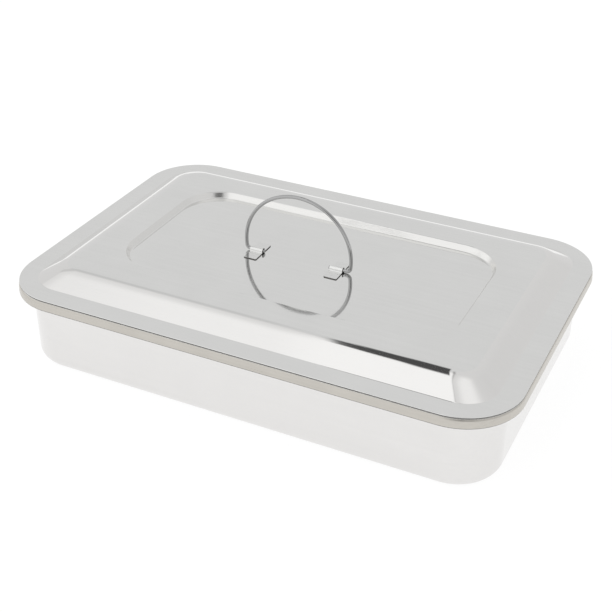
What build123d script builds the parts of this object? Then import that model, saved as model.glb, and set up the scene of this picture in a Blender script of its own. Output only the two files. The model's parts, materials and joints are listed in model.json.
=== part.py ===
"""Covered instrument tray: a deep-drawn pan, a loose pressed lid and a folding wire bail.

Frame: millimetres, +Z up, +X along the long side. The origin is on the underside of the pan,
below the centre of the rim.
"""
from build123d import *
import math
import os

# Sheet and outline
SHEET = 0.8
RIM_LENGTH = 305.0
RIM_WIDTH = 202.0
RIM_CORNER = 34.4
CLOSED_HEIGHT = 52.0

# Pan
WALL_MARGIN = 7.5
FLOOR_RADIUS = 7.1
MOUTH_RADIUS = 2.0
BAND_DEPTH = 7.0
BAND_FLARE = 0.5
BAND_TOP_RADIUS = 2.0
BAND_FOOT_RADIUS = 1.0
BAND_RETURN = 0.8

# Lid
LID_MARGIN = 0.3
LID_EDGE_RADIUS = 0.25
FLANGE_WIDTH = 12.4
DOME_BASE_CORNER = 19.2
DOME_RUN = 14.4
DOME_RISE = 7.9
DOME_TOP_CORNER = 12.5
DOME_CREASE_RADIUS = 1.2
DOME_SHOULDER_RADIUS = 22.0
RECESS_MARGIN_X = 47.9
RECESS_MARGIN_Y = 46.4
RECESS_CORNER = 26.5
RECESS_RUN = 2.1
RECESS_DEPTH = 3.5
RECESS_RADIUS = 0.9

# Bail: a ring of wire, larger than a half circle, whose ends turn in and run through the straps
WIRE = 2.2
RING_RADIUS = 34.2
RING_RISE = 6.1
RING_X = -6.1
END_BEND_RADIUS = 2.4
WIRE_LIFT = 0.25
WIRE_OVERHANG = 0.8
WIRE_END_CHAMFER = 0.3

# Straps, one over each wire end
STRAP_SHEET = 0.6
STRAP_WIDTH = 8.4
STRAP_LENGTH = 19.8
STRAP_CLEARANCE = 0.05
STRAP_PITCH = 52.4
STRAP_MID_X = -7.0
STRAP_BEND_RADIUS = 0.5
STRAP_CORNER = 0.9
WELD_MARK_RADIUS = 1.4
WELD_MARK_DEPTH = 0.15
HANDLE_Y = -2.7

# Worked out from the sizes above
pan_rim_top = CLOSED_HEIGHT - SHEET
band_bottom = CLOSED_HEIGHT - BAND_DEPTH
dome_top = CLOSED_HEIGHT + DOME_RISE
panel_top = dome_top - RECESS_DEPTH
hinge_z = panel_top + WIRE_LIFT + WIRE / 2
strap_x = {
    "handle_clip_left": STRAP_MID_X - STRAP_PITCH / 2,
    "handle_clip_right": STRAP_MID_X + STRAP_PITCH / 2,
}


def outline(height, margin_x, margin_y, corner):
    """A rounded rectangle at a height, inside the rim's outline by the given margins."""
    with BuildSketch(Plane.XY.offset(height)) as sketch:
        RectangleRounded(RIM_LENGTH - 2 * margin_x, RIM_WIDTH - 2 * margin_y, corner)
    return sketch.sketch


def level_edges(builder, height):
    """The edges of a part that lie flat at a height."""
    return builder.edges().filter_by_position(Axis.Z, height, height)


def level_face(builder, height):
    """The face of a part that lies flat at a height."""
    return builder.faces().filter_by(Plane.XY).sort_by(lambda face: abs(face.center().Z - height))[0]


def round_the_rim(points, radii):
    """Sheet metal swept round the rim. Its upper face follows points of (margin, height)."""
    path = outline(0, 0, 0, RIM_CORNER).wire()
    start = path @ 0
    up = Vector(0, 0, 1)
    inward = up.cross(path % 0)
    if inward.dot(start) > 0:
        inward = -inward
    with BuildPart() as ring:
        with BuildSketch(Plane(origin=start, x_dir=inward, z_dir=inward.cross(up))):
            with BuildLine():
                FilletPolyline(*points, radius=radii)
                offset(amount=SHEET, side=Side.RIGHT)
            make_face()
        sweep(path=path)
    return ring.part


def make_tray_body():
    """The pan: upright drawn walls and a flanged rim turned down into a slightly flared band."""
    inner_wall = WALL_MARGIN + SHEET
    floor_edge = inner_wall + FLOOR_RADIUS
    with BuildPart() as tray_body:
        add(round_the_rim(
            [
                (BAND_RETURN, band_bottom),
                (-BAND_FLARE, band_bottom),
                (0, pan_rim_top),
                (inner_wall, pan_rim_top),
                (inner_wall, SHEET),
                (floor_edge, SHEET),
            ],
            [BAND_FOOT_RADIUS, BAND_TOP_RADIUS, MOUTH_RADIUS, FLOOR_RADIUS - SHEET],
        ))
        extrude(outline(0, floor_edge, floor_edge, RIM_CORNER - floor_edge), amount=SHEET)
    return tray_body


def dome(drop):
    """The solid under the lid's upper face, or under that face lowered by drop."""
    flange_top = CLOSED_HEIGHT - drop
    top = dome_top - drop
    panel = panel_top - drop
    shoulder_margin = FLANGE_WIDTH + DOME_RUN
    # the underside of the step follows it at the sheet's thickness, not straight below it
    step_slant = math.hypot(RECESS_RUN, RECESS_DEPTH)
    step_shift = drop * (step_slant - RECESS_RUN) / RECESS_DEPTH
    step_x = RECESS_MARGIN_X - step_shift
    step_y = RECESS_MARGIN_Y - step_shift
    step_corner = RECESS_CORNER + step_shift
    with BuildPart() as form:
        extrude(outline(flange_top - SHEET, LID_MARGIN, LID_MARGIN, RIM_CORNER - LID_MARGIN),
                amount=SHEET)
        with BuildPart(mode=Mode.PRIVATE) as hill:
            add(outline(flange_top, FLANGE_WIDTH, FLANGE_WIDTH, DOME_BASE_CORNER))
            add(outline(top, shoulder_margin, shoulder_margin, DOME_TOP_CORNER))
            loft(ruled=True)
        add(hill.part)
        fillet(level_edges(form, top), DOME_SHOULDER_RADIUS)
        fillet(level_face(form, flange_top).outer_wire().edges(), LID_EDGE_RADIUS)
        fillet(level_face(form, flange_top).inner_wires()[0].edges(), DOME_CREASE_RADIUS)
        with BuildPart(mode=Mode.PRIVATE) as hollow:
            add(outline(top, step_x, step_y, step_corner))
            add(outline(panel, step_x + RECESS_RUN, step_y + RECESS_RUN,
                        step_corner - RECESS_RUN))
            loft(ruled=True)
        add(hollow.part, mode=Mode.SUBTRACT)
        fillet(level_face(form, top).inner_wires()[0].edges(), RECESS_RADIUS)
        fillet(level_edges(form, panel), RECESS_RADIUS)
    return form


def make_lid():
    """The lid: a flat flange that lies on the pan's rim, a raised dome and a recessed panel."""
    with BuildPart() as lid:
        add(dome(0).part)
        add(dome(SHEET).part, mode=Mode.SUBTRACT)
    return lid


def make_bail():
    """The bail: the ring's arc, a tight bend at each foot and the two ends turned inward."""
    # the small bends touch the ring from inside and the hinge axis from above
    bend_drop = RING_RISE - END_BEND_RADIUS
    bend_x = math.sqrt((RING_RADIUS - END_BEND_RADIUS) ** 2 - bend_drop ** 2)
    dip = math.degrees(math.atan2(bend_drop, bend_x))
    end_reach = STRAP_WIDTH / 2 + WIRE_OVERHANG
    left_end = strap_x["handle_clip_left"] + end_reach - RING_X
    right_end = strap_x["handle_clip_right"] - end_reach - RING_X
    front = Plane(origin=(RING_X, HANDLE_Y, hinge_z), x_dir=(1, 0, 0), z_dir=(0, -1, 0))
    with BuildPart() as bail_handle:
        with BuildLine(front) as route:
            Line((left_end, 0), (-bend_x, 0))
            CenterArc((-bend_x, END_BEND_RADIUS), END_BEND_RADIUS, 270, dip - 90)
            CenterArc((0, RING_RISE), RING_RADIUS, 180 + dip, -180 - 2 * dip)
            CenterArc((bend_x, END_BEND_RADIUS), END_BEND_RADIUS, -dip, dip - 90)
            Line((bend_x, 0), (right_end, 0))
        with BuildSketch(Plane(origin=route.line @ 0, z_dir=route.line % 0)):
            Circle(WIRE / 2)
        sweep()
        wire_ends = bail_handle.faces().filter_by(GeomType.PLANE)
        chamfer(wire_ends.edges(), WIRE_END_CHAMFER)
    return bail_handle


def make_strap(middle_x):
    """A strap: two flat feet on the panel and a hump over the wire, which turns inside it."""
    hump_inside = WIRE / 2 + STRAP_CLEARANCE
    hump_outside = hump_inside + STRAP_SHEET
    axis_rise = hinge_z - panel_top
    foot_start = hump_outside + STRAP_BEND_RADIUS
    foot_middle = (foot_start + STRAP_LENGTH / 2) / 2
    side = Plane(origin=(middle_x - STRAP_WIDTH / 2, HANDLE_Y, panel_top), x_dir=(0, 1, 0),
                 z_dir=(1, 0, 0))
    with BuildPart() as strap:
        with BuildSketch(side) as section:
            Rectangle(STRAP_LENGTH, STRAP_SHEET, align=(Align.CENTER, Align.MIN))
            Rectangle(2 * hump_outside, axis_rise, align=(Align.CENTER, Align.MIN))
            with Locations((0, axis_rise)):
                Circle(hump_outside)
            Rectangle(2 * hump_inside, axis_rise, align=(Align.CENTER, Align.MIN),
                      mode=Mode.SUBTRACT)
            with Locations((0, axis_rise)):
                Circle(hump_inside, mode=Mode.SUBTRACT)
            Rectangle(STRAP_LENGTH, axis_rise + hump_outside, align=(Align.CENTER, Align.MIN),
                      mode=Mode.INTERSECT)
            hump_roots = section.vertices().filter_by(
                lambda corner: abs(corner.Y - STRAP_SHEET) < SHEET / 10
                and abs(corner.X) < foot_start)
            fillet(hump_roots, STRAP_BEND_RADIUS)
        extrude(amount=STRAP_WIDTH)
        foot_top = panel_top + STRAP_SHEET
        fillet(strap.edges().filter_by(Axis.Z).group_by(
            lambda edge: round(abs(edge.center().Y - HANDLE_Y), 3))[-1], STRAP_CORNER)
        for foot_side in (-1, 1):
            with BuildSketch(Plane.XY.offset(foot_top)):
                with Locations((middle_x, HANDLE_Y + foot_side * foot_middle)):
                    Circle(WELD_MARK_RADIUS)
            extrude(amount=-WELD_MARK_DEPTH, mode=Mode.SUBTRACT)
    return strap


os.makedirs("parts", exist_ok=True)

tray_body = make_tray_body()
lid = make_lid()
bail_handle = make_bail()
pieces = {"tray_body": tray_body, "lid": lid, "bail_handle": bail_handle}
for name, middle_x in strap_x.items():
    pieces[name] = make_strap(middle_x)

for name, piece in pieces.items():
    piece.part.label = name
    export_step(piece.part, f"parts/{name}.step")
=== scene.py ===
"""Covered instrument tray: meshes, steel finishes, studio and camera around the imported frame."""
import json
import math

import bpy
import numpy as np
from mathutils import Euler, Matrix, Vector


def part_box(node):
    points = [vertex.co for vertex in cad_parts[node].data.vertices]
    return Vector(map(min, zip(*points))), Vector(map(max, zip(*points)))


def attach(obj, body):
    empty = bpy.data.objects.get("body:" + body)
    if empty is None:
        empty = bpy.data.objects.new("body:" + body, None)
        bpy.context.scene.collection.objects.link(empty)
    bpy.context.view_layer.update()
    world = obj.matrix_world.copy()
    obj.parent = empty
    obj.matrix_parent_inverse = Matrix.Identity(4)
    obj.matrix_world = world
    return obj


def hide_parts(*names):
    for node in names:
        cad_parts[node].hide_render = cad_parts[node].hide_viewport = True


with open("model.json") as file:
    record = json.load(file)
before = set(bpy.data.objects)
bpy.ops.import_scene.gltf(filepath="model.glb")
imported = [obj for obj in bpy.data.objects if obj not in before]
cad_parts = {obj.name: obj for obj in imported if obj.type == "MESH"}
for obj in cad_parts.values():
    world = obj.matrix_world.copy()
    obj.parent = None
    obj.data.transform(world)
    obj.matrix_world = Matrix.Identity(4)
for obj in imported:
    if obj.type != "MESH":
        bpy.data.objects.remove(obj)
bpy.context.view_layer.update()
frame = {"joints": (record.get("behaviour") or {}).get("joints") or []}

MM = 0.001

# ---------------------------------------------------------------- sizes, from the frame's boxes
lid_low, lid_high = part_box("lid")
pan_low, pan_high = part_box("tray_body")
bail_low, bail_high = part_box("bail_handle")

SHEET = 0.8 * MM
LID_MARGIN = 0.3 * MM
HALF_X = (lid_high.x - lid_low.x) / 2 + LID_MARGIN
HALF_Y = (lid_high.y - lid_low.y) / 2 + LID_MARGIN
RIM_CORNER = 34.4 * MM
RIM_TOP = pan_high.z
FLANGE_TOP = RIM_TOP + SHEET
DOME_TOP = lid_high.z
PANEL_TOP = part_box("handle_clip_left")[0].z

WALL_MARGIN = 7.5 * MM
MOUTH_RADIUS = 2.0 * MM
FLOOR_RADIUS = 6.3 * MM
BAND_BOTTOM = FLANGE_TOP - 7.0 * MM
BAND_FLARE = 0.5 * MM
BAND_TOP_RADIUS = 2.0 * MM
BAND_FOOT_RADIUS = 1.0 * MM
BAND_RETURN = 0.8 * MM

LID_EDGE_RADIUS = 0.25 * MM
LID_BURR_RADIUS = 0.1 * MM
FLANGE_WIDTH = 12.4 * MM
DOME_BASE_CORNER = 19.2 * MM
DOME_SHOULDER = 26.8 * MM
DOME_TOP_CORNER = 12.5 * MM
CREASE_RADIUS = 1.2 * MM
SHOULDER_RADIUS = 22.0 * MM
SHOULDER_REACH = 5.6 * MM
RECESS_MARGIN = 47.9 * MM
RECESS_SIDE_SHIFT = 1.5 * MM
RECESS_CORNER = 26.5 * MM
RECESS_RUN = 2.1 * MM
RECESS_RADIUS = 0.9 * MM

WIRE_RADIUS = (bail_high.y - bail_low.y) / 2
WIRE_END_RADIUS = 0.35 * MM
RING_RADIUS = 34.2 * MM
END_BEND_RADIUS = 2.4 * MM
WIRE_OVERHANG = 0.8 * MM

STRAP_SHEET = 0.6 * MM
STRAP_BEND_RADIUS = 0.5 * MM
STRAP_CLEARANCE = 0.05 * MM
STRAP_CORNER = 0.9 * MM
STRAP_EDGE = 0.12 * MM
WELD_MARK_RADIUS = 1.4 * MM
WELD_MARK_DEPTH = 0.15 * MM

hinge = frame["joints"][1]["pos_m"]
HINGE_Y = hinge[1]
HINGE_Z = hinge[2]
BAIL_X = (bail_low.x + bail_high.x) / 2
WAVE_HEIGHT = 0.01 * MM

# how finely arcs of a profile, and corners and sides of an outline, are divided
ARC_STEPS = 10
PER_CORNER = 18
PER_X = 24
PER_Y = 16


# ---------------------------------------------------------------- profiles
def filleted(points, radii, steps):
    """A polyline with rounded corners, as a list of (point, unit tangent, span)."""
    points = [np.array(p, float) for p in points]
    last = len(points) - 2
    samples = []
    start = points[0]
    for span in range(last + 1):
        along = points[span + 1] - points[span]
        along /= np.linalg.norm(along)
        if span == last:
            samples += [(start, along, span), (points[-1], along, span)]
            break
        corner = points[span + 1]
        onward = points[span + 2] - corner
        onward /= np.linalg.norm(onward)
        turn = math.atan2(along[0] * onward[1] - along[1] * onward[0], along @ onward)
        reach = radii[span] * math.tan(abs(turn) / 2)
        enter = corner - along * reach
        samples += [(start, along, span), (enter, along, span)]
        side = math.copysign(1, turn)
        centre = enter + radii[span] * side * np.array([-along[1], along[0]])
        for k in range(1, steps):
            angle = turn * k / steps
            turned = np.array([math.cos(angle) * along[0] - math.sin(angle) * along[1],
                               math.sin(angle) * along[0] + math.cos(angle) * along[1]])
            spoke = radii[span] * side * np.array([turned[1], -turned[0]])
            samples.append((centre + spoke, turned, span + (k > steps / 2)))
        start = corner + onward * reach
    return samples


def divided(samples, longest):
    """The same profile with its long straight stretches divided, and no sample twice."""
    result = [samples[0]]
    for point, tangent, span in samples[1:]:
        last_point = result[-1][0]
        gap = point - last_point
        if np.linalg.norm(gap) < 1e-9:
            continue
        pieces = math.ceil(np.linalg.norm(gap) / longest)
        for k in range(1, pieces):
            result.append((last_point + gap * k / pieces, tangent, span))
        result.append((point, tangent, span))
    return result


def rounded_rectangle(half_x, half_y, corner, per_corner, per_x, per_y):
    """Points round a rectangle with rounded corners, and the outward normal at each."""
    points, normals = [], []
    corners = [(1, 1, 0), (-1, 1, 90), (-1, -1, 180), (1, -1, 270)]
    for i, (sign_x, sign_y, first) in enumerate(corners):
        centre = np.array([sign_x * (half_x - corner), sign_y * (half_y - corner)])
        for k in range(per_corner + 1):
            angle = math.radians(first + 90 * k / per_corner)
            ray = np.array([math.cos(angle), math.sin(angle)])
            points.append(centre + corner * ray)
            normals.append(ray)
        next_x, next_y, next_first = corners[(i + 1) % 4]
        next_ray = np.array([math.cos(math.radians(next_first)),
                             math.sin(math.radians(next_first))])
        next_start = (np.array([next_x * (half_x - corner), next_y * (half_y - corner)])
                      + corner * next_ray)
        straight_start = points[-1]
        divisions = per_x if i % 2 == 0 else per_y
        for k in range(1, divisions):
            points.append(straight_start + (next_start - straight_start) * k / divisions)
            normals.append(ray)
    return np.array(points), np.array(normals)


def pan_plan(margin):
    """Half length, half width and corner radius of the pan at a margin inside the rim."""
    return HALF_X - margin, HALF_Y - margin, max(RIM_CORNER - margin, 0.5 * MM)


def lid_plan(margin):
    """The same for the lid, whose dome and recess have corner radii of their own."""
    recess_end = RECESS_MARGIN + RECESS_RUN
    margins = [0, FLANGE_WIDTH, DOME_SHOULDER, DOME_SHOULDER + SHOULDER_REACH, RECESS_MARGIN,
               recess_end]
    corners = [RIM_CORNER, DOME_BASE_CORNER, DOME_TOP_CORNER, DOME_TOP_CORNER - SHOULDER_REACH,
               RECESS_CORNER, RECESS_CORNER - RECESS_RUN]
    shifts = [0, 0, 0, 0, RECESS_SIDE_SHIFT, RECESS_SIDE_SHIFT]
    half_x = HALF_X - margin
    half_y = HALF_Y - margin + np.interp(margin, margins, shifts)
    if margin <= recess_end:
        return half_x, half_y, np.interp(margin, margins, corners)
    panel_y = HALF_Y - recess_end + RECESS_SIDE_SHIFT
    return half_x, half_y, (RECESS_CORNER - RECESS_RUN) * half_y / panel_y


def shell_rows(samples, plan, sheet):
    """The outer and inner faces of pressed sheet whose face follows a (margin, height) profile."""
    outer, inner = [], []
    nudge = 1e-6
    for (margin, height), tangent, span in samples:
        points, _ = rounded_rectangle(*plan(margin), PER_CORNER, PER_X, PER_Y)
        behind, outward = rounded_rectangle(*plan(margin - nudge * tangent[0]),
                                            PER_CORNER, PER_X, PER_Y)
        # inward travel along the profile, measured square to the outline
        travel = ((behind - points) * outward).sum(1) / nudge
        normal = np.column_stack([outward * tangent[1], travel])
        if abs(tangent[0]) < 1e-6:
            normal = np.column_stack([outward * tangent[1], np.zeros(len(points))])
        normal /= np.linalg.norm(normal, axis=1)[:, None]
        face = np.column_stack([points, np.full(len(points), height)])
        outer.append((face, normal, span))
        # the sheet's thickness is laid off in the profile's own plane
        offset = np.column_stack([outward * tangent[1], np.full(len(points), tangent[0])])
        inner.append((face - offset * sheet, -normal, span))
    return outer, inner[::-1]


# ---------------------------------------------------------------- meshes
def add_piece(name, rows, joins, caps, finishes, body):
    """A mesh of quads between rows of points, shaded with each row's exact normals.

    rows are (points, normals, finish number), joins (row, row, sharp) and caps (row, forwards).
    """
    count = len(rows[0][0])
    points = np.concatenate([row[0] for row in rows])
    normals = np.concatenate([row[1] for row in rows])
    faces, face_finishes, corner_normals = [], [], []

    def square_to(a, b, c):
        normal = np.cross(b - a, c - a)
        return normal / np.linalg.norm(normal)

    for first, second, sharp in joins:
        for i in range(count):
            j = (i + 1) % count
            face = [first * count + i, first * count + j, second * count + j, second * count + i]
            faces.append(face)
            face_finishes.append(rows[second][2])
            if sharp:
                corner_normals += [square_to(*points[face[:3]])] * 4
            else:
                corner_normals += list(normals[face])
    for row, forwards in caps:
        ring = [row * count + i for i in range(count)]
        if not forwards:
            ring.reverse()
        faces.append(ring)
        face_finishes.append(rows[row][2])
        thirds = [ring[0], ring[count // 3], ring[2 * count // 3]]
        corner_normals += [square_to(*points[thirds])] * count
    mesh = bpy.data.meshes.new(name)
    mesh.from_pydata(points.tolist(), [], faces)
    mesh.polygons.foreach_set("use_smooth", [True] * len(faces))
    mesh.polygons.foreach_set("material_index", face_finishes)
    for finish in finishes:
        mesh.materials.append(finish)
    mesh.normals_split_custom_set([tuple(n) for n in corner_normals])
    piece = bpy.data.objects.new(name, mesh)
    bpy.context.scene.collection.objects.link(piece)
    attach(piece, body)
    return piece


def shell_joins(outer_count, inner_count, sharp_edge):
    """Joins and caps of a closed shell: in along the upper face, back along the lower one."""
    last = outer_count + inner_count - 1
    joins = [(k, k + 1, False) for k in range(last) if k != outer_count - 1]
    joins.append((last, 0, sharp_edge))
    return joins, [(outer_count - 1, True), (outer_count, True)]


def ripple(rows, height):
    """Moves a face up and down by a smooth height function of x and y."""
    rippled = []
    step = 0.1 * MM
    for points, normals, finish in rows:
        x, y = points[:, 0], points[:, 1]
        slope_x = (height(x + step, y) - height(x - step, y)) / (2 * step)
        slope_y = (height(x, y + step) - height(x, y - step)) / (2 * step)
        lean = np.column_stack([slope_x, slope_y, 0 * x]) * normals[:, 2:]
        tilted = normals - lean
        tilted /= np.linalg.norm(tilted, axis=1)[:, None]
        rippled.append((points + np.column_stack([0 * x, 0 * y, height(x, y)]), tilted, finish))
    return rippled


def lid_waves(x, y):
    """The slight unevenness of the lid's flat sheet, fading out towards the rim and the straps."""
    inside = np.clip((HALF_X - np.abs(x) - DOME_SHOULDER) / (10 * MM), 0, 1)
    inside *= np.clip((HALF_Y - np.abs(y) - DOME_SHOULDER) / (10 * MM), 0, 1)
    from_bail = np.hypot((x - BAIL_X) / RING_RADIUS, (y - HINGE_Y) / (15 * MM))
    clear = 1 - np.exp(-from_bail ** 4)
    waves = (np.sin(x * 61 + 1.1) * np.cos(y * 83 + 0.4) + 0.6 * np.sin(x * 127 + y * 59)
             + 0.4 * np.cos(x * 37 - y * 149))
    return WAVE_HEIGHT * waves * inside * clear


def make_lid(finishes):
    """The lid: cut edge, flange, slope, raised border, step and recessed panel."""
    cut_edge_and_painted_shade, flat, slope, step = range(4)
    samples = filleted(
        [
            (LID_MARGIN + LID_BURR_RADIUS, RIM_TOP),
            (LID_MARGIN, RIM_TOP),
            (LID_MARGIN, FLANGE_TOP),
            (FLANGE_WIDTH, FLANGE_TOP),
            (DOME_SHOULDER, DOME_TOP),
            (RECESS_MARGIN, DOME_TOP),
            (RECESS_MARGIN + RECESS_RUN, PANEL_TOP),
            (HALF_Y - 4 * MM, PANEL_TOP),
        ],
        [LID_BURR_RADIUS, LID_EDGE_RADIUS, CREASE_RADIUS, SHOULDER_RADIUS, RECESS_RADIUS,
         RECESS_RADIUS],
        ARC_STEPS,
    )
    samples = divided(samples, 6 * MM)
    finish_of_span = [cut_edge_and_painted_shade, cut_edge_and_painted_shade, flat, slope, flat, step, flat]
    outer, inner = shell_rows(samples, lid_plan, SHEET)
    # the underside begins where the flange is flat on top
    flat_rows = sum(margin >= LID_MARGIN + LID_EDGE_RADIUS for (margin, _), _, _ in samples)
    inner = inner[:flat_rows]
    rows = []
    # painted shade: the sheet's outer edge face and the lip beneath it get the dark edge steel,
    # standing in for the shadow of the gap under the lid, while the upper half of the rounded edge
    # keeps the bright top finish
    for points, normals, span in outer + inner:
        on_rounded_edge = span == 1 and normals[0, 2] > 0.1
        rows.append((points, normals, flat if on_rounded_edge else finish_of_span[span]))
    rows = ripple(rows, lid_waves)
    joins, caps = shell_joins(len(outer), len(inner), False)
    lid = add_piece("lid_shell", rows, joins, caps, finishes, "lid")
    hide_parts("lid")


def make_pan(finishes):
    """The pan: a band turned in at its foot, rim, mouth, wall and floor."""
    band, rim, wall, floor, cut_edge_and_painted_shade = range(5)
    inner_wall = WALL_MARGIN + SHEET
    samples = filleted(
        [
            (BAND_RETURN, BAND_BOTTOM),
            (-BAND_FLARE, BAND_BOTTOM),
            (0, RIM_TOP),
            (inner_wall, RIM_TOP),
            (inner_wall, SHEET),
            (RIM_CORNER - 1 * MM, SHEET),
        ],
        [BAND_FOOT_RADIUS, BAND_TOP_RADIUS, MOUTH_RADIUS, FLOOR_RADIUS],
        ARC_STEPS,
    )
    samples = divided(samples, 12 * MM)
    finish_of_span = [cut_edge_and_painted_shade, band, rim, wall, floor]
    outer, inner = shell_rows(samples, pan_plan, SHEET)
    rows = []
    for points, normals, span in outer:
        # painted shade: the turned-in foot, its flat return and the downward half of its bend,
        # gets the dark edge steel for the thin shadow line at the band's lower edge
        painted_shade_on_band_foot = span == 1 and normals[0, 2] <= -0.1
        rows.append((points, normals, cut_edge_and_painted_shade if painted_shade_on_band_foot else finish_of_span[span]))
    rows += [(points, normals, finish_of_span[span]) for points, normals, span in inner]
    joins, caps = shell_joins(len(outer), len(inner), True)
    pan = add_piece("pan_shell", rows, joins, caps, finishes, "tray")
    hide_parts("tray_body")


def bail_route():
    """The wire's centreline from end to end: (point, tangent)."""
    ring_rise = bail_high.z - WIRE_RADIUS - RING_RADIUS - HINGE_Z
    bend_drop = ring_rise - END_BEND_RADIUS
    bend_x = math.sqrt((RING_RADIUS - END_BEND_RADIUS) ** 2 - bend_drop ** 2)
    dip = math.atan2(bend_drop, bend_x)
    left_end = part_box("handle_clip_left")[1].x + WIRE_OVERHANG - BAIL_X
    right_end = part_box("handle_clip_right")[0].x - WIRE_OVERHANG - BAIL_X
    arcs = [
        (-bend_x, END_BEND_RADIUS, END_BEND_RADIUS, 1.5 * math.pi, math.pi + dip, 10),
        (0, ring_rise, RING_RADIUS, math.pi + dip, -dip, 96),
        (bend_x, END_BEND_RADIUS, END_BEND_RADIUS, -dip, -math.pi / 2, 10),
    ]
    route = [(left_end, 0, -1, 0)]
    for number, (centre_x, centre_z, radius, start, end, steps) in enumerate(arcs):
        # each later arc starts where the one before it ends
        for k in range(1 if number else 0, steps + 1):
            angle = start + (end - start) * k / steps
            c, s = math.cos(angle), math.sin(angle)
            route.append((centre_x + radius * c, centre_z + radius * s, s, -c))
    route.append((right_end, 0, -1, 0))
    return [(Vector((BAIL_X + x, HINGE_Y, HINGE_Z + z)), Vector((tx, 0, tz)))
            for x, z, tx, tz in route]


def wire_section(centre, tangent, radius, lean):
    """A circle across the wire. lean turns its normals from sideways (0) along the tangent."""
    around = 24
    sideways = Vector((0, 1, 0))
    upright = tangent.cross(sideways)
    points, normals = [], []
    for i in range(around):
        turn = 2 * math.pi * i / around
        ray = sideways * math.cos(turn) + upright * math.sin(turn)
        points.append(centre + ray * radius)
        normals.append(ray * math.cos(lean) + tangent * math.sin(lean))
    return np.array(points), np.array(normals), 0


def make_bail(finishes):
    """The bail: one wire with rounded ends."""
    route = bail_route()
    end_steps = 4
    rows = []
    for end_point, direction, forwards in ((*route[0], -1), (*route[-1], 1)):
        end_rows = []
        for k in range(end_steps):
            lean = math.pi / 2 * (1 - k / end_steps)
            back = WIRE_END_RADIUS * (1 - math.sin(lean))
            radius = WIRE_RADIUS - WIRE_END_RADIUS * (1 - math.cos(lean))
            end_rows.append(wire_section(end_point - direction * back * forwards, direction,
                                         radius, lean * forwards))
        if forwards < 0:
            rows += end_rows
            rows.append(wire_section(end_point + direction * WIRE_END_RADIUS, direction,
                                     WIRE_RADIUS, 0))
            rows += [wire_section(point, tangent, WIRE_RADIUS, 0)
                     for point, tangent in route[1:-1]]
        else:
            rows.append(wire_section(end_point - direction * WIRE_END_RADIUS, direction,
                                     WIRE_RADIUS, 0))
            rows += end_rows[::-1]
    joins = [(k, k + 1, False) for k in range(len(rows) - 1)]
    caps = [(0, False), (len(rows) - 1, True)]
    bail = add_piece("bail_wire", rows, joins, caps, finishes, "bail")
    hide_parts("bail_handle")


def make_strap(node, finishes):
    """A strap: a ribbon of sheet from the back foot over the wire to the front foot."""
    low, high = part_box(node)
    middle_x = (low.x + high.x) / 2
    half_width = (high.x - low.x) / 2
    reach = (high.y - low.y) / 2
    half_sheet = STRAP_SHEET / 2
    hump = WIRE_RADIUS + STRAP_CLEARANCE + half_sheet
    hump_top = HINGE_Z - PANEL_TOP + hump
    root = STRAP_BEND_RADIUS + half_sheet
    samples = filleted(
        [
            (reach, half_sheet),
            (hump, half_sheet),
            (hump, hump_top),
            (-hump, hump_top),
            (-hump, half_sheet),
            (-reach, half_sheet),
        ],
        [root, hump, hump, root],
        ARC_STEPS,
    )
    samples = divided(samples, 0.4 * MM)
    corner_steps = [STRAP_CORNER * (1 - math.cos(math.pi / 2 * k / 8)) for k in range(9)]
    edge_steps = [STRAP_EDGE * share for share in (0.1, 0.3, 0.6)]
    near_ends = sorted(set(corner_steps + edge_steps))
    back_foot = [((reach - d, half_sheet), (-1, 0)) for d in near_ends]
    front_foot = [((d - reach, half_sheet), (-1, 0)) for d in reversed(near_ends)]
    between = [(tuple(point), tuple(tangent)) for point, tangent, _ in samples
               if abs(point[0]) < reach - STRAP_CORNER - STRAP_EDGE]
    weld_y = (reach + hump + half_sheet + STRAP_BEND_RADIUS) / 2
    rows = []
    for (y, z), (travel_y, travel_z) in back_foot + between + front_foot:
        from_end = reach - abs(y) if abs(z - half_sheet) < STRAP_EDGE else STRAP_CORNER
        plan_gap = max(STRAP_CORNER - from_end, 0)
        edge_gap = max(STRAP_EDGE - from_end, 0)
        width = half_width - STRAP_CORNER + math.sqrt(STRAP_CORNER ** 2 - plan_gap ** 2)
        thick = half_sheet - STRAP_EDGE + math.sqrt(max(STRAP_EDGE ** 2 - edge_gap ** 2, 0))
        section, outward = rounded_rectangle(width, max(thick, 0.2 * half_sheet),
                                             min(STRAP_EDGE, 0.9 * max(thick, 0.2 * half_sheet)),
                                             3, 24, 2)
        upward = np.array([0, travel_z, -travel_y])
        across = np.array([1, 0, 0])
        centre = np.array([middle_x, HINGE_Y + y, PANEL_TOP + z])
        points = centre + section[:, :1] * across + section[:, 1:] * upward
        normals = outward[:, :1] * across + outward[:, 1:] * upward
        from_weld = np.hypot(section[:, 0], abs(y) - weld_y) / WELD_MARK_RADIUS
        on_top = (section[:, 1] > 0) & (from_weld < 1) & (abs(z - half_sheet) < STRAP_EDGE)
        points[:, 2] -= np.where(on_top, WELD_MARK_DEPTH * (1 - from_weld ** 4) ** 2, 0)
        rows.append((points, normals, 0))
    joins = [(k, k + 1, False) for k in range(len(rows) - 1)]
    caps = [(0, False), (len(rows) - 1, True)]
    strap = add_piece(node + "_strap", rows, joins, caps, finishes, "lid")
    bpy.context.view_layer.objects.active = strap
    strap.select_set(True)
    bpy.ops.mesh.customdata_custom_splitnormals_clear()
    strap.select_set(False)
    strap.data.set_sharp_from_angle(angle=math.radians(50))
    # painted shade: the strap's sides and the ends of its feet get the dark edge steel, standing
    # in for contact shadow and the dark hollow under the hump
    for face in strap.data.polygons:
        painted_shade_on_foot_end = abs(face.normal.y) > 0.7 and face.center.z < PANEL_TOP + STRAP_SHEET
        if abs(face.normal.x) > 0.7 or painted_shade_on_foot_end:
            face.material_index = 1
    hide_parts(node)


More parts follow.
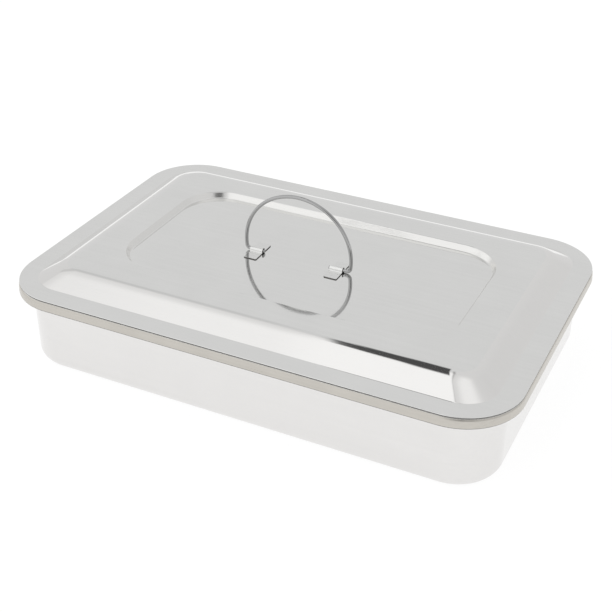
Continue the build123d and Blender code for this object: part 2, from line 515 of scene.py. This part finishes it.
# ---------------------------------------------------------------- finishes
def steel(name, colour, roughness, grain=0.0, grain_size=(5, 600, 600), clouds=0.02):
    """Stainless steel. grain is the depth of brushed lines, which run along the shortest scale."""
    material = bpy.data.materials.new(name)
    material.use_nodes = True
    nodes, links = material.node_tree.nodes, material.node_tree.links
    shader = nodes["Principled BSDF"]
    shader.inputs["Metallic"].default_value = 1.0
    place = nodes.new("ShaderNodeTexCoord")
    stretch = nodes.new("ShaderNodeMapping")
    stretch.inputs["Scale"].default_value = grain_size
    links.new(place.outputs["Object"], stretch.inputs["Vector"])
    lines = nodes.new("ShaderNodeTexNoise")
    lines.inputs["Scale"].default_value = 1.0
    lines.inputs["Detail"].default_value = 4.0
    links.new(stretch.outputs["Vector"], lines.inputs["Vector"])
    cloud = nodes.new("ShaderNodeTexNoise")
    cloud.inputs["Scale"].default_value = 45.0
    cloud.inputs["Detail"].default_value = 3.0
    links.new(place.outputs["Object"], cloud.inputs["Vector"])
    # the clouds and the lines together darken the colour slightly and vary the roughness
    both = nodes.new("ShaderNodeMath")
    both.operation = "ADD"
    links.new(cloud.outputs["Fac"], both.inputs[0])
    links.new(lines.outputs["Fac"], both.inputs[1])
    wear = nodes.new("ShaderNodeMapRange")
    wear.inputs["From Min"].default_value = 0.6
    wear.inputs["From Max"].default_value = 1.4
    links.new(both.outputs[0], wear.inputs["Value"])
    tone = nodes.new("ShaderNodeMix")
    tone.data_type = "RGBA"
    tone.inputs[6].default_value = (*[c * (1 - clouds) for c in colour], 1)
    tone.inputs[7].default_value = (*colour, 1)
    links.new(wear.outputs["Result"], tone.inputs["Factor"])
    links.new(tone.outputs[2], shader.inputs["Base Color"])
    rough = nodes.new("ShaderNodeMapRange")
    rough.inputs["To Min"].default_value = roughness * 0.75
    rough.inputs["To Max"].default_value = roughness * 1.25
    links.new(wear.outputs["Result"], rough.inputs["Value"])
    links.new(rough.outputs["Result"], shader.inputs["Roughness"])
    if grain:
        brushed = nodes.new("ShaderNodeBump")
        brushed.inputs["Strength"].default_value = 1.0
        brushed.inputs["Distance"].default_value = grain
        links.new(lines.outputs["Fac"], brushed.inputs["Height"])
        links.new(brushed.outputs["Normal"], shader.inputs["Normal"])
    return material


# dark steel for cut edges, also used as painted shade: it darkens the lid's edge, the band's
# turned-in foot and the straps' sides and foot ends, where gaps and contact shadows fall
CUT_EDGE_AND_PAINTED_SHADE = steel("cut_edge_and_painted_shade", (0.15, 0.145, 0.14), 0.50)
SATIN = steel("satin_band", (0.60, 0.575, 0.53), 0.32, grain=1.5e-6, clouds=0.14)
FINE = steel("fine_brushed_top", (0.81, 0.81, 0.80), 0.06, grain=0.4e-6, clouds=0.045)
POLISHED = steel("polished_slope", (0.82, 0.812, 0.80), 0.07)
STEP = steel("rolled_step", (0.80, 0.795, 0.78), 0.20)
WALL = steel("drawn_wall", (0.785, 0.775, 0.765), 0.07, clouds=0.03)
INSIDE = steel("satin_inside", (0.76, 0.76, 0.75), 0.22, grain=1.0e-6)
WIRE = steel("drawn_wire", (0.42, 0.42, 0.42), 0.06)
STRIP = steel("bright_strip", (0.78, 0.78, 0.77), 0.12)

make_lid([CUT_EDGE_AND_PAINTED_SHADE, FINE, POLISHED, STEP])
make_pan([SATIN, INSIDE, WALL, INSIDE, CUT_EDGE_AND_PAINTED_SHADE])
make_bail([WIRE])
make_strap("handle_clip_left", [STRIP, CUT_EDGE_AND_PAINTED_SHADE])
make_strap("handle_clip_right", [STRIP, CUT_EDGE_AND_PAINTED_SHADE])


# ---------------------------------------------------------------- studio
FLOOR_SIZE = 8
FLOOR_GLOW = 0.86
TENT_WALL = 0.78
BACKDROP = 1.0
# patches of wall: azimuth from the back towards +X and elevation (degrees), softness, brightness
WALL_PATCHES = [
    (-178, -84, 4, 46, 8, 1.10),
    (24, 70, 5, 50, 20, 0.73),
    (142, 168, 12, 42, 5, 0.12),
]
# patches of ceiling, on a plane one unit up: x range and softness, y range and softness,
# brightness
CEILING_PATCHES = [
    (-1.40, -0.46, 0.05, 0.44, 0.64, 0.06, 0.68),
    (-0.17, -0.13, 0.02, -0.60, 0.50, 0.05, 0.35),
    (-0.02, 0.30, 0.12, -0.10, 0.40, 0.12, 1.00),
    (-1.40, -0.16, 0.03, -0.80, 0.40, 0.05, 0.86),
    (-1.40, -0.16, 0.03, -0.80, 0.12, 0.20, 0.97),
    (-0.60, -0.16, 0.10, -0.80, 0.12, 0.20, 1.04),
    (-0.40, -0.16, 0.03, -0.80, 0.42, 0.05, 1.10),
]
# dark strips across the ceiling, narrower to the left; their x is the direction's own
DARK_STRIPS = [
    (-0.340, -0.212, 0.004, 0.28, 0.56, 0.03, 0.08),
    (-0.318, -0.212, 0.012, 0.26, 0.64, 0.05, 0.08),
    (-0.275, -0.212, 0.012, 0.22, 0.68, 0.06, 0.08),
]


def make_floor():
    """A pale paper floor that glows a little, so that it stays even."""
    bpy.ops.mesh.primitive_plane_add(size=FLOOR_SIZE, location=(0, 0, 0))
    floor = bpy.context.object
    floor.name = "studio_floor"
    paper = bpy.data.materials.new("white_paper")
    paper.use_nodes = True
    shader = paper.node_tree.nodes["Principled BSDF"]
    shader.inputs["Base Color"].default_value = (0.22, 0.22, 0.22, 1)
    shader.inputs["Roughness"].default_value = 0.9
    shader.inputs["Specular IOR Level"].default_value = 0.0
    shader.inputs["Emission Color"].default_value = (1, 1, 1, 1)
    shader.inputs["Emission Strength"].default_value = FLOOR_GLOW
    floor.data.materials.append(paper)


def make_world():
    """A white tent, as brightness by direction: pale walls with brighter and darker patches."""
    world = bpy.data.worlds.new("studio")
    bpy.context.scene.world = world
    world.use_nodes = True
    nodes, links = world.node_tree.nodes, world.node_tree.links
    place = nodes.new("ShaderNodeTexCoord")
    split = nodes.new("ShaderNodeSeparateXYZ")
    links.new(place.outputs["Generated"], split.inputs["Vector"])

    def combine(operation, a, b=0.0):
        node = nodes.new("ShaderNodeMath")
        node.operation = operation
        for socket, value in zip(node.inputs, (a, b)):
            if isinstance(value, (int, float)):
                socket.default_value = value
            else:
                links.new(value, socket)
        return node.outputs[0]

    def between(value, low, high, soft):
        rise = nodes.new("ShaderNodeMapRange")
        fall = nodes.new("ShaderNodeMapRange")
        for node, start, end in ((rise, low - soft, low + soft), (fall, high + soft, high - soft)):
            node.interpolation_type = "SMOOTHSTEP"
            node.inputs["From Min"].default_value = start
            node.inputs["From Max"].default_value = end
            links.new(value, node.inputs["Value"])
        return combine("MULTIPLY", rise.outputs["Result"], fall.outputs["Result"])

    def paint(below, share, brightness):
        kept = combine("MULTIPLY", combine("SUBTRACT", 1.0, share), below)
        return combine("ADD", kept, combine("MULTIPLY", share, brightness))

    x, y, z = split.outputs
    azimuth = combine("MULTIPLY", combine("ARCTAN2", x, y), 180 / math.pi)
    elevation = combine("MULTIPLY", combine("ARCSINE", z), 180 / math.pi)
    height = combine("MAXIMUM", z, 0.05)
    ceiling_x = combine("DIVIDE", x, height)
    ceiling_y = combine("DIVIDE", y, height)
    total = TENT_WALL
    for left, right, low, high, soft, brightness in WALL_PATCHES:
        share = combine("MULTIPLY", between(azimuth, left, right, soft),
                        between(elevation, low, high, soft))
        total = paint(total, share, brightness)
    for across, patches in ((ceiling_x, CEILING_PATCHES), (x, DARK_STRIPS)):
        for left, right, side_soft, near, far, end_soft, brightness in patches:
            share = combine("MULTIPLY", between(across, left, right, side_soft),
                            between(ceiling_y, near, far, end_soft))
            total = paint(total, share, brightness)
    total = paint(total, nodes.new("ShaderNodeLightPath").outputs["Is Camera Ray"], BACKDROP)
    background = nodes["Background"]
    links.new(total, background.inputs["Strength"])
    background.inputs["Color"].default_value = (1.0, 1.0, 1.0, 1)


make_floor()
make_world()

# ---------------------------------------------------------------- camera
VIEW_AZIMUTH = math.radians(25.68)
VIEW_ELEVATION = math.radians(31.65)
VIEW_ROLL = math.radians(0.425)
VIEW_DISTANCE = 0.638
VIEW_TARGET = Vector((0.0171, -0.0394, FLANGE_TOP))

camera_data = bpy.data.cameras.new("camera")
camera = bpy.data.objects.new("camera", camera_data)
bpy.context.scene.collection.objects.link(camera)
bpy.context.scene.camera = camera
camera_data.lens = 66.84
camera_data.sensor_width = 36.0
camera_data.clip_start = 0.01
toward_camera = Vector((math.cos(VIEW_ELEVATION) * math.sin(VIEW_AZIMUTH),
                        -math.cos(VIEW_ELEVATION) * math.cos(VIEW_AZIMUTH),
                        math.sin(VIEW_ELEVATION)))
camera.location = VIEW_TARGET + VIEW_DISTANCE * toward_camera
aim = (-toward_camera).to_track_quat("-Z", "Y")
camera.rotation_euler = (aim @ Euler((0, 0, VIEW_ROLL)).to_quaternion()).to_euler()

bpy.context.scene.view_settings.view_transform = "Standard"
